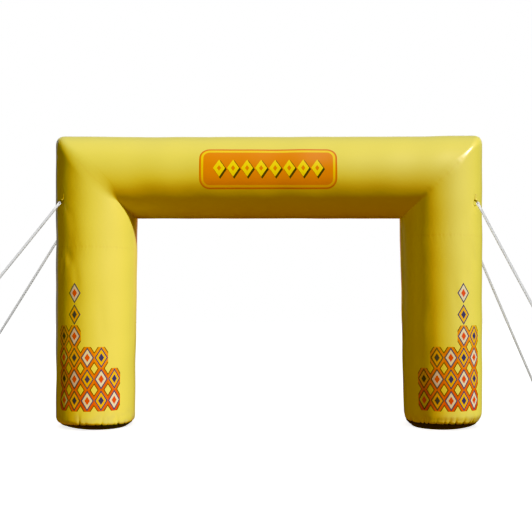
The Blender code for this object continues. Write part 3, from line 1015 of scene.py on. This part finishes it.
def rib_paint(wire):
    """Yellow webbing: ribs across the strap, and a boxed cross of dark thread through both layers."""
    x, y, z = (place_in_piece(wire, axis) for axis in "XYZ")
    wear = noise(wire, 60.0, 4.0)
    across, down = abs(x), abs(y - BOX_MIDDLE)
    box_edge = (across - BOX_HALF[0]).maths("MAXIMUM", down - BOX_HALF[1])
    box = 1 - abs(box_edge).step(0.0008, 0.0005)
    cross = 1 - abs(across / BOX_HALF[0] - down / BOX_HALF[1]).step(0.06, 0.03)
    cross = cross * (1 - down.step(BOX_HALF[1] + 0.001, 0.0006))
    stitched = (1 - across.step(BOX_HALF[0] + 0.0015, 0.0005)) * z.step(-0.003, 0.001)
    gaps = ((x + y) * STITCHES_A_METRE).maths("FRACT").step(0.22, 0.08)
    thread = box.maths("MAXIMUM", cross) * stitched * gaps
    colour = blend(wear, STRAP_YELLOW, WORN_STRAP).mix(thread, STRAP_THREAD)
    ribs = (y * (2 * math.pi / RIB)).maths("SINE") * 0.00018
    twill = (across * (2 * math.pi / TWILL)).maths("SINE") * 0.00008
    relief = ribs + twill - thread * 0.0006
    return {"Base Color": colour, "Roughness": 0.55 + 0.2 * wear, "Normal": bumped(wire, relief)}


webbing = finish("yellow_webbing", {"Specular IOR Level": 0.3, "Sheen Weight": 0.15}, rib_paint)
for name in TABS:
    strap = plain_mesh(f"tie_tab_{name}", *strap_mesh())
    strap.data.set_sharp_from_angle(angle=math.radians(40))
    strap.matrix_world = tab_place(name)
    strap.data.materials.append(webbing)
    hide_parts(f"tab_{name}")
    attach(strap, "root")


# ---- D-rings ----
# A ring of dark steel wire, bent to a D and welded. Its straight wire lies in the fold of the tab, and
# its round bow stands out and down, the way the rope pulls it.
RING_HALF_WIDTH = 0.029
RING_CORNER = 0.006
RING_DEPTH = 0.056
STRAIGHT_HALF = 0.02
STEEL = (0.055, 0.052, 0.05)
RUBBED_STEEL = (0.24, 0.23, 0.22)


def ring_place(name):
    return axes_at(wire_middle(TABS[name]), across_pull(name), pull_of(name))


def flat_loop(half, bow):
    """A flat line of points: one half, the bow, and the half again, mirrored and run back."""
    return np.array([(x, y, 0.0) for x, y in [*half, *bow, *[(-x, y) for x, y in half[::-1]]]])


def ring_line():
    """A D: the straight wire lies on X, and the bow is round."""
    corner = arc(RING_CORNER, range(-90, 1, 15), x=RING_HALF_WIDTH - RING_CORNER, y=RING_CORNER)
    bow = arc(RING_HALF_WIDTH, range(0, 181, 6), y=RING_DEPTH - RING_HALF_WIDTH)
    straight = [(x, 0.0, 0.0) for x in np.linspace(-STRAIGHT_HALF, STRAIGHT_HALF, 9)]
    return np.concatenate([straight, flat_loop(corner, bow)])


def hoop_mesh(line, radius, sides=16):
    """Points and faces of a round wire bent into a closed flat line."""
    way = np.roll(line, -1, axis=0) - np.roll(line, 1, axis=0)
    way /= np.linalg.norm(way, axis=1, keepdims=True)
    flat = np.cross(way, (0.0, 0.0, 1.0))
    turn = 2 * math.pi * np.arange(sides) / sides
    grid = line[:, None] + radius * np.cos(turn)[None, :, None] * flat[:, None]
    grid[:, :, 2] += radius * np.sin(turn)
    number = np.arange(len(line) * sides).reshape(-1, sides)
    quads = tube_quads(np.concatenate([number, number[:1]]))
    return grid.reshape(-1, 3), quads[:, FLIPPED].tolist()


def steel_paint(wire):
    wear = noise(wire, 90.0, 5.0)
    rub = wear.step(0.62, 0.10)
    fine = noise(wire, 700.0, 3.0)
    colour = blend(rub, STEEL, RUBBED_STEEL)
    return {"Base Color": colour, "Roughness": 0.28 + 0.25 * fine, "Normal": bumped(wire, fine * 0.00005)}


steel = finish("dark_steel", {"Metallic": 1.0}, steel_paint)
for name in TABS:
    ring = plain_mesh(f"d_ring_{name}", *hoop_mesh(ring_line(), RING_WIRE))
    ring.matrix_world = ring_place(name)
    ring.data.materials.append(steel)
    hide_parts(f"ring_{name}")
    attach(ring, "root")


# ---- Guy ropes ----
# Three-strand laid rope of white polyester, pulled almost straight. Each rope has two spliced eyes: the
# near one goes round the bow of its D-ring, and the far one is for the ground anchor.
ROPE_RADIUS = 0.018
EYE_RADIUS = 0.010  # the rope is drawn thinner round its eyes
ROPE_LAY = 0.126  # one turn of a strand
STRANDS = 3
GROOVE = 0.28  # how deep the strands part, as a share of the rope's radius
ROPE_SAG = 0.0025  # as a share of its length
ROPE_ROW = 0.006
RUN_IN = 0.066  # a rope runs on inside its splices by this
RUN_IN_SLIM = 0.25  # and is this much thinner there
SPLICE_LENGTH = 0.08
SPLICE_PLACES = (-SPLICE_LENGTH, -0.056, -0.012, 0.002, 0.019)
SPLICE_THICKNESS = (1.0, 1.06, 1.2, 1.26, 0.95)
NEAR_TIP = RING_WIRE + 0.001 + EYE_RADIUS
NEAR_EYE = 0.050
NEAR_REACH = NEAR_EYE - EYE_RADIUS - GAP - RING_WIRE
FAR_TIP = 0.034
FAR_EYE = 0.12


def strands(line, side_way, sizes, turned, sides=21):
    """A laid bar along a line. side_way is the direction of its first point round, sizes its half
    width that way and across it, and turned how far its strands have twisted at each point."""
    way = np.gradient(line, axis=0)
    way /= np.linalg.norm(way, axis=1, keepdims=True)
    across = np.cross(way, side_way)
    across /= np.linalg.norm(across, axis=1, keepdims=True)
    first = np.cross(across, way)
    around = 2 * math.pi * np.arange(sides) / sides
    turn = around + turned[:, None]
    full = 1 - GROOVE * (1 - np.abs(np.cos(STRANDS / 2 * around))) ** 1.6
    wide = sizes[:, :1] * np.cos(turn) * full
    deep = sizes[:, 1:] * np.sin(turn) * full
    grid = line[:, None] + first[:, None] * wide[:, :, None] + across[:, None] * deep[:, :, None]
    return grid, around * ROPE_RADIUS, run_along(line)[:, None]


def laid_turns(line, start):
    """How far the strands have twisted at each point of a line, in radians."""
    return start + 2 * math.pi * run_along(line) / ROPE_LAY


def eye_bars(tip_radius, length, phase):
    """A rope's end turned back on itself, and the tapered splice behind its throat."""
    throat = EYE_RADIUS * 1.03
    side = length - tip_radius
    shares = np.linspace(0, 1, 14)[:-1]
    rising = [(throat, -0.012), *[(throat + (tip_radius - throat) * s, side * s) for s in shares]]
    line = flat_loop(rising, arc(tip_radius, range(0, 181, 6), y=side))
    sizes = np.full((len(line), 2), EYE_RADIUS)
    loop = strands(line, np.array((0.0, 0.0, 1.0)), sizes, laid_turns(line, 0.0))
    y = np.linspace(SPLICE_PLACES[0], SPLICE_PLACES[-1], 34)
    thick = np.interp(y, SPLICE_PLACES, SPLICE_THICKNESS)
    ease = 0.8 + 0.2 * np.exp(-(y + SPLICE_LENGTH) / 0.02)
    sizes = ROPE_RADIUS * np.stack([thick, thick * ease], axis=1)
    middle = np.stack([0 * y, y, 0 * y], axis=1)
    return [strands(middle, np.array((1.0, 0.0, 0.0)), sizes, laid_turns(middle, phase)), loop]


SPLICE_WHITE = (0.96, 0.95, 0.93)
ROPE_WHITE = (0.72, 0.72, 0.71)
ROPE_SHADED = (0.64, 0.64, 0.63)
ROPE_GRIME = (0.40, 0.37, 0.31)
YARN_PITCH = 0.0042


def rope_paint(light, shaded, dirt):
    """The paint of a rope's yarns: its two whites and how dirty it is."""

    def paint(wire):
        around, along = cloth_place(wire)
        grime = noise(wire, 14.0, 5.0)
        fuzz = noise(wire, 900.0, 2.0)
        colour = blend(fuzz, light, shaded).mix(grime.step(0.60, 0.25) * dirt, ROPE_GRIME)
        yarns = ((around * 3 + along * 0.35) * (2 * math.pi / YARN_PITCH)).maths("SINE")
        relief = yarns * 0.00022 + fuzz * 0.0003
        return {"Base Color": colour, "Roughness": 0.62 + 0.2 * fuzz, "Normal": bumped(wire, relief)}

    return paint


YARN = {"Specular IOR Level": 0.25, "Sheen Weight": 0.3}
rope_yarn = finish("laid_rope", YARN, rope_paint(ROPE_WHITE, ROPE_SHADED, 0.20))
# The near eyes and their splices are painted whiter than the rope, and without its grime: painted light,
# standing in for the brighter light on the rope's ends at the rings.
eye_yarn_painted_lighter = finish("splice_painted_lighter", YARN, rope_paint(SPLICE_WHITE, ROPE_WHITE, 0.0))
WHOLE_TURN = 2 * math.pi * ROPE_RADIUS
for name, tab in TABS.items():
    pull = pull_of(name)
    ring_across = across_pull(name).cross(pull)
    near_throat = wire_middle(tab) + pull * (RING_DEPTH + NEAR_REACH)
    start = wire_middle(tab) + pull * (RING_DEPTH + NEAR_REACH + SPLICE_LENGTH + GAP)
    end = Vector(ROPE_ENDS[name])
    length = (end - start).length
    run = np.linspace(-RUN_IN, length + RUN_IN, round(length / ROPE_ROW))
    share = np.clip(run / length, 0, 1)
    line = np.array(start) + np.outer(run / length, np.array(end - start))
    line[:, 2] -= 4 * ROPE_SAG * length * share * (1 - share)
    turned = 2 * math.pi * run / ROPE_LAY
    hidden = np.maximum(-run, run - length)  # how far inside a splice
    slim = 1 - RUN_IN_SLIM * np.clip(hidden / 0.02, 0, 1)
    rope_bar = strands(line, np.array(ring_across), ROPE_RADIUS * slim[:, None] * np.ones(2), turned)
    rope = closed_bars(f"guy_rope_{name}", [rope_bar], WHOLE_TURN)

    near = closed_bars(f"near_eye_{name}", eye_bars(NEAR_TIP, NEAR_EYE, 0.0), WHOLE_TURN)
    near.matrix_world = axes_at(near_throat, ring_across, -pull)

    far_across = pull.cross(Vector((0, 0, 1))).normalized()
    swing = math.atan2(far_across.cross(ring_across).dot(pull), far_across.dot(ring_across))
    far_phase = 2 * math.pi * length / ROPE_LAY + swing
    far = closed_bars(f"far_eye_{name}", eye_bars(FAR_TIP, FAR_EYE, far_phase), WHOLE_TURN)
    far.matrix_world = axes_at(end + pull * (SPLICE_LENGTH + GAP), far_across, pull)

    for piece, node in ((rope, "rope"), (near, "eye"), (far, "end")):
        piece.visible_shadow = False
        only_ropes.objects.link(piece)
        leave_unlit(piece)
        # The near eye gets the whiter paint, which is painted light.
        piece.data.materials.append(eye_yarn_painted_lighter if node == "eye" else rope_yarn)
        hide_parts(f"{node}_{name}")
        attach(piece, "root")
